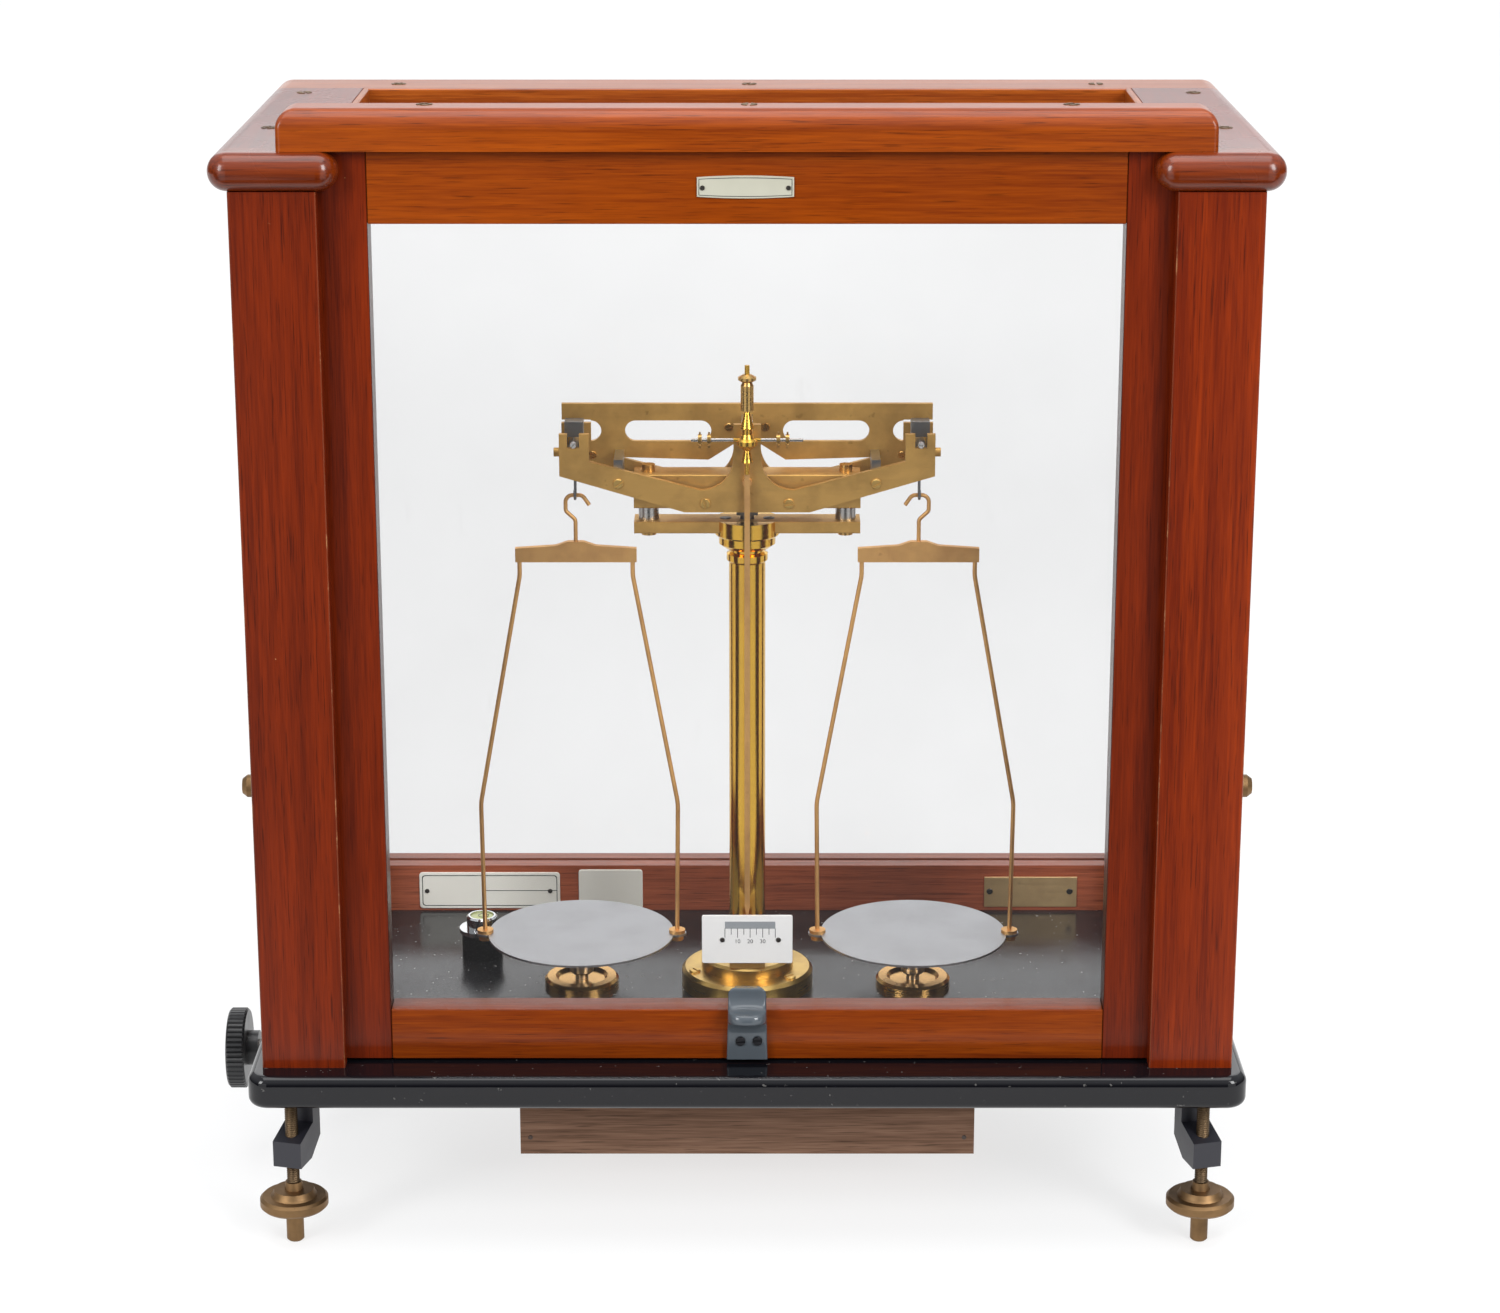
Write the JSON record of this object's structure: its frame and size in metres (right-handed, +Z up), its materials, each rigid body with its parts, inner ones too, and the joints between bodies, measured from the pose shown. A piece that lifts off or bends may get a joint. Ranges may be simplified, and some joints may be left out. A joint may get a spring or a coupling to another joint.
{
  "type": "balance scale",
  "caption": "Equal-arm pan balance on a brass column inside a glazed wooden case with a lifting front sash, side doors and levelling feet.",
  "frame": {"origin": "on the bench under the middle of the whole, knob included, with the feet on Z = 0", "axes": "+Z up; the front with the lifting sash faces -Y; +X is the right of someone who faces the front"},
  "size_m": [0.4605, 0.242, 0.5],
  "materials": {
    "case_wood": "red-brown mahogany, lacquered",
    "box_wood": "dark brown wood, oiled",
    "base_lacquer": "black lacquer, glossy",
    "pane_glass": "clear sheet glass",
    "lacquered_brass": "golden lacquered brass",
    "aged_brass": "worn brass",
    "bright_steel": "turned steel",
    "knife_steel": "hardened ground steel",
    "dark_steel": "blued steel",
    "pan_metal": "satin plated sheet",
    "bright_chrome": "chromium plate",
    "agate": "polished dark stone",
    "black_enamel": "black stoved paint",
    "black_moulding": "black moulded resin",
    "grey_moulding": "blue-grey moulded resin",
    "white_enamel": "white plate",
    "weight_iron": "raw iron bar",
    "cord_fibre": "waxed braided cord"
  },
  "bodies": {
    "case": {"base_board": "base_lacquer", "left_pillar": "case_wood", "right_pillar": "case_wood", "rear_frame": "case_wood", "rear_glass": "pane_glass", "left_top_rail": "case_wood", "right_top_rail": "case_wood", "top_cross_rails": "case_wood", "top_glass": "pane_glass", "sash_cords": "cord_fibre", "door_hinges": "aged_brass", "column_foot": "lacquered_brass", "column": "lacquered_brass", "crosshead": "lacquered_brass", "bridge_posts": "bright_steel", "bridge_bar": "lacquered_brass", "agate_plane": "agate", "scale_plate": "white_enamel", "scale_bracket": "lacquered_brass", "arrest_box": "box_wood", "stop_sockets": "lacquered_brass", "foot_brackets": "black_enamel", "spirit_level": "bright_chrome"},
    "sash": {"sash_frame": "case_wood", "sash_glass": "pane_glass", "sash_cap": "case_wood", "lift_handle": "grey_moulding"},
    "left_weight": {"left_counterweight": "weight_iron"},
    "right_weight": {"right_counterweight": "weight_iron"},
    "left_sheave": {"left_pulley": "aged_brass"},
    "right_sheave": {"right_pulley": "aged_brass"},
    "left_side_door": {"left_door": "case_wood", "left_door_glass": "pane_glass", "left_door_fittings": "aged_brass"},
    "right_side_door": {"right_door": "case_wood", "right_door_glass": "pane_glass", "right_door_fittings": "aged_brass"},
    "arrest": {"arrest_knob": "black_moulding", "arrest_shaft": "bright_steel"},
    "lifter": {"beam_lifter": "lacquered_brass"},
    "left_stop": {"left_pan_stop": "bright_steel"},
    "right_stop": {"right_pan_stop": "bright_steel"},
    "beam": {"beam_front_plate": "lacquered_brass", "beam_rear_plate": "lacquered_brass", "beam_knives": "knife_steel", "gravity_bob": "lacquered_brass", "pointer": "lacquered_brass"},
    "gravity_weight": {"gravity_nut": "lacquered_brass"},
    "left_balance_weight": {"left_balance_nuts": "lacquered_brass"},
    "right_balance_weight": {"right_balance_nuts": "lacquered_brass"},
    "left_end_bearing": {"left_stirrup": "dark_steel"},
    "right_end_bearing": {"right_stirrup": "dark_steel"},
    "left_load": {"left_hanger": "lacquered_brass", "left_pan": "pan_metal"},
    "right_load": {"right_hanger": "lacquered_brass", "right_pan": "pan_metal"},
    "left_screw": {"left_foot_screw": "bright_steel"},
    "right_screw": {"right_foot_screw": "bright_steel"},
    "left_wheel": {"left_foot_wheel": "aged_brass"},
    "right_wheel": {"right_foot_wheel": "aged_brass"}
  },
  "joints": [
    {"name": "sash_lift", "type": "slide", "parent": "case", "child": "sash", "axis": [0, 0, 1], "range_m": [0, 0.17], "deforming": ["sash_cords"]},
    {"name": "left_weight_slide", "type": "slide", "parent": "case", "child": "left_weight", "axis": [0, 0, 1], "range_m": [-0.17, 0]},
    {"name": "left_sheave_spin", "type": "hinge", "parent": "case", "child": "left_sheave", "pos_m": [-0.17775, -0.093, 0.442], "axis": [0, -1, 0], "range_deg": [0, 1181]},
    {"name": "left_door_swing", "type": "hinge", "parent": "case", "child": "left_side_door", "pos_m": [-0.204, 0.0788, 0.276], "axis": [0, 0, -1], "range_deg": [0, 100]},
    {"name": "right_weight_slide", "type": "slide", "parent": "case", "child": "right_weight", "axis": [0, 0, 1], "range_m": [-0.17, 0]},
    {"name": "right_sheave_spin", "type": "hinge", "parent": "case", "child": "right_sheave", "pos_m": [0.19575, -0.093, 0.442], "axis": [0, 1, 0], "range_deg": [0, 1181]},
    {"name": "right_door_swing", "type": "hinge", "parent": "case", "child": "right_side_door", "pos_m": [0.222, 0.0788, 0.276], "axis": [0, 0, 1], "range_deg": [0, 100]},
    {"name": "arrest_turn", "type": "hinge", "parent": "case", "child": "arrest", "pos_m": [-0.222, -0.008, 0.053], "axis": [1, 0, 0], "range_deg": [0, 90]},
    {"name": "lifter_slide", "type": "slide", "parent": "case", "child": "lifter", "axis": [0, 0, 1], "range_m": [-0.0025, 0]},
    {"name": "left_stop_slide", "type": "slide", "parent": "case", "child": "left_stop", "axis": [0, 0, 1], "range_m": [-0.0025, 0]},
    {"name": "right_stop_slide", "type": "slide", "parent": "case", "child": "right_stop", "axis": [0, 0, 1], "range_m": [-0.0025, 0]},
    {"name": "beam_rock", "type": "hinge", "parent": "case", "child": "beam", "pos_m": [0.009, -0.008, 0.3437], "axis": [0, 1, 0], "range_deg": [-2.2, 2.2]},
    {"name": "gravity_nut_travel", "type": "slide", "parent": "beam", "child": "gravity_weight", "axis": [0, 0, 1], "range_m": [-0.0005, 0.003]},
    {"name": "left_balance_travel", "type": "slide", "parent": "beam", "child": "left_balance_weight", "axis": [1, 0, 0], "range_m": [-0.003, 0.006]},
    {"name": "right_balance_travel", "type": "slide", "parent": "beam", "child": "right_balance_weight", "axis": [1, 0, 0], "range_m": [-0.006, 0.003]},
    {"name": "left_bearing_rock", "type": "hinge", "parent": "beam", "child": "left_end_bearing", "pos_m": [-0.0672, -0.008, 0.3437], "axis": [0, 1, 0], "range_deg": [-1, 1]},
    {"name": "left_pan_swing", "type": "hinge", "parent": "left_end_bearing", "child": "left_load", "pos_m": [-0.0672, -0.008, 0.31548], "axis": [0, 1, 0], "range_deg": [-1.2, 1.2]},
    {"name": "left_wheel_turn", "type": "hinge", "parent": "left_screw", "child": "left_wheel", "pos_m": [-0.191, -0.1, 0.018], "axis": [0, 0, 1], "range_deg": [-3600, 1800]},
    {"name": "left_screw_travel", "type": "slide", "parent": "case", "child": "left_screw", "axis": [0, 0, 1], "range_m": [-0.01, 0.005]},
    {"name": "right_bearing_rock", "type": "hinge", "parent": "beam", "child": "right_end_bearing", "pos_m": [0.0852, -0.008, 0.3437], "axis": [0, 1, 0], "range_deg": [-1, 1]},
    {"name": "right_pan_swing", "type": "hinge", "parent": "right_end_bearing", "child": "right_load", "pos_m": [0.0852, -0.008, 0.31548], "axis": [0, 1, 0], "range_deg": [-1.2, 1.2]},
    {"name": "right_wheel_turn", "type": "hinge", "parent": "right_screw", "child": "right_wheel", "pos_m": [0.209, -0.1, 0.018], "axis": [0, 0, 1], "range_deg": [-3600, 1800]},
    {"name": "right_screw_travel", "type": "slide", "parent": "case", "child": "right_screw", "axis": [0, 0, 1], "range_m": [-0.01, 0.005]}
  ],
  "couplings": [
    {"joint": "left_weight_slide", "follows": "sash_lift", "ratio": -1},
    {"joint": "left_sheave_spin", "follows": "sash_lift", "rad_per_m": 121.21},
    {"joint": "left_stop_slide", "follows": "lifter_slide", "ratio": 1},
    {"joint": "left_wheel_turn", "follows": "left_screw_travel", "rad_per_m": 6283.2},
    {"joint": "right_weight_slide", "follows": "sash_lift", "ratio": -1},
    {"joint": "right_sheave_spin", "follows": "sash_lift", "rad_per_m": 121.21},
    {"joint": "right_stop_slide", "follows": "lifter_slide", "ratio": 1},
    {"joint": "right_wheel_turn", "follows": "right_screw_travel", "rad_per_m": 6283.2},
    {"joint": "arrest_turn", "follows": "lifter_slide", "rad_per_m": -628.32}
  ]
}
